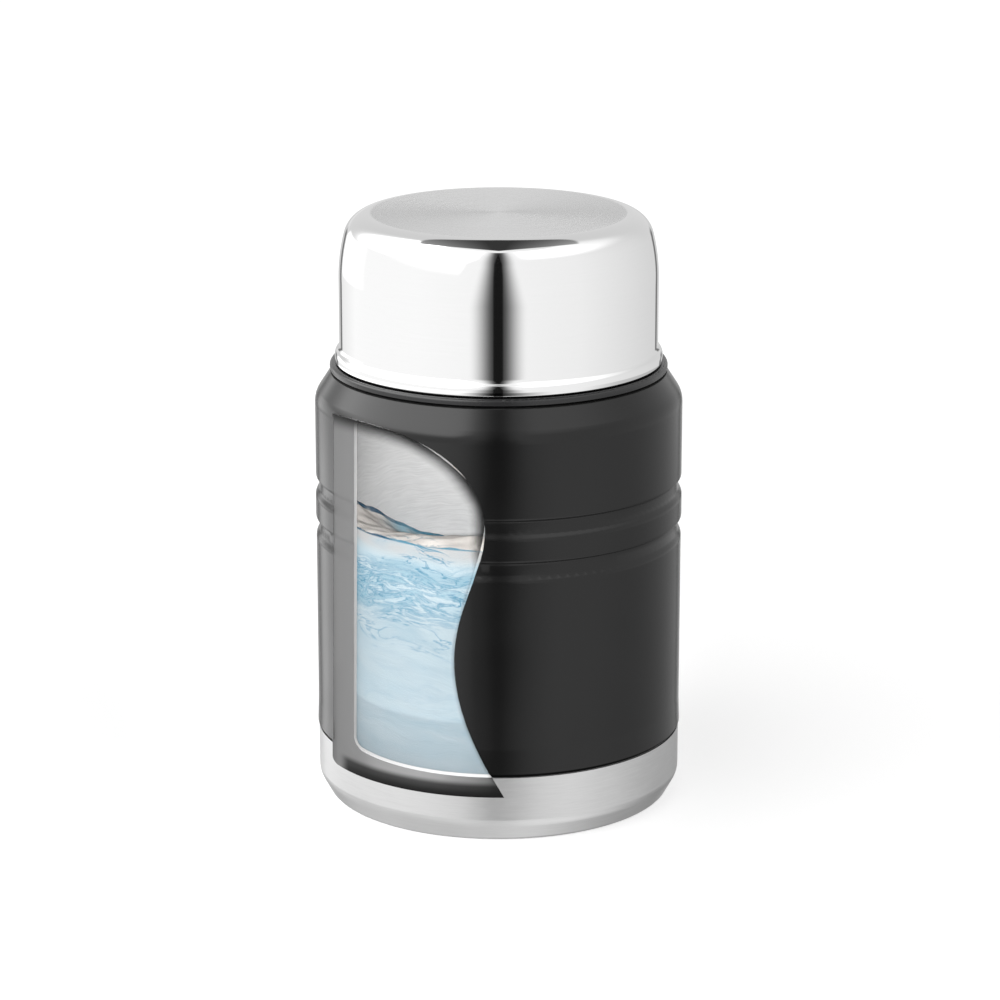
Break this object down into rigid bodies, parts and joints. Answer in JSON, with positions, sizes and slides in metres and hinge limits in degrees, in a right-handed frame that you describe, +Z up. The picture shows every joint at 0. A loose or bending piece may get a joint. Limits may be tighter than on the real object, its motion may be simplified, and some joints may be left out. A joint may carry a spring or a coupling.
{
  "type": "insulated food jar",
  "caption": "Vacuum-walled food jar with a satin black body, bare steel base, a window in the wall, a screw-in stopper with a vent button and a steel cup that screws on top.",
  "frame": {"origin": "middle of the foot ring's underside, on the jar's axis", "axes": "+Z up along the jar's axis, the window towards -Y and -X"},
  "size_m": [0.0964, 0.0964, 0.1555],
  "materials": {
    "black_paint": "satin powder coat",
    "bare_steel": "brushed round the jar",
    "cup_steel": "spun and lightly polished",
    "liner_steel": "brushed",
    "foil": "rolled foil",
    "clear": "clear",
    "glass_frit": "fused glass bead",
    "black_plastic": "moulded",
    "insert_plastic": "moulded",
    "button_plastic": "fine grain",
    "foam": "rigid foam",
    "silicone": "translucent grey",
    "spring_steel": "drawn wire",
    "getter_metal": "sintered"
  },
  "bodies": {
    "jar": {"outer_shell": "black_paint", "shell_window": "clear", "base_cup": "bare_steel", "bottom_cover": "bare_steel", "vacuum_seal": "glass_frit", "inner_liner": "liner_steel", "liner_window": "clear", "radiation_foil": "foil", "getter_cup": "getter_metal", "getter_pellet": "getter_metal"},
    "gasket_carrier": {"stopper_gasket": "silicone"},
    "stopper": {"stopper_body": "black_plastic", "stopper_cover": "black_plastic", "stopper_foam": "foam", "stopper_base": "black_plastic", "valve_spring": "spring_steel"},
    "button": {"valve_button": "button_plastic", "valve_rod": "button_plastic", "valve_seal": "silicone"},
    "seal_carrier": {"cup_seal": "silicone"},
    "cup": {"cup_shell": "cup_steel", "cup_insert": "insert_plastic"}
  },
  "joints": [
    {"name": "stopper_lift", "type": "slide", "parent": "jar", "child": "gasket_carrier", "axis": [0, 0, 1], "range_m": [0, 0.027]},
    {"name": "stopper_turn", "type": "hinge", "parent": "gasket_carrier", "child": "stopper", "pos_m": [0, 0, 0.1152], "axis": [0, 0, 1], "range_deg": [0, 540]},
    {"name": "cup_lift", "type": "slide", "parent": "stopper", "child": "seal_carrier", "axis": [0, 0, 1], "range_m": [0, 0.036]},
    {"name": "cup_turn", "type": "hinge", "parent": "seal_carrier", "child": "cup", "pos_m": [0, 0, 0.1165], "axis": [0, 0, 1], "range_deg": [0, 720]},
    {"name": "button_press", "type": "slide", "parent": "stopper", "child": "button", "axis": [0, 0, -1], "range_m": [0, 0.0025], "stiffness_N_per_m": 600, "springref_m": -0.002, "deforming": ["valve_spring"]}
  ],
  "couplings": [
    {"joint": "stopper_lift", "follows": "stopper_turn", "m_per_rad": 0.0028648},
    {"joint": "cup_lift", "follows": "cup_turn", "m_per_rad": 0.0028648}
  ]
}
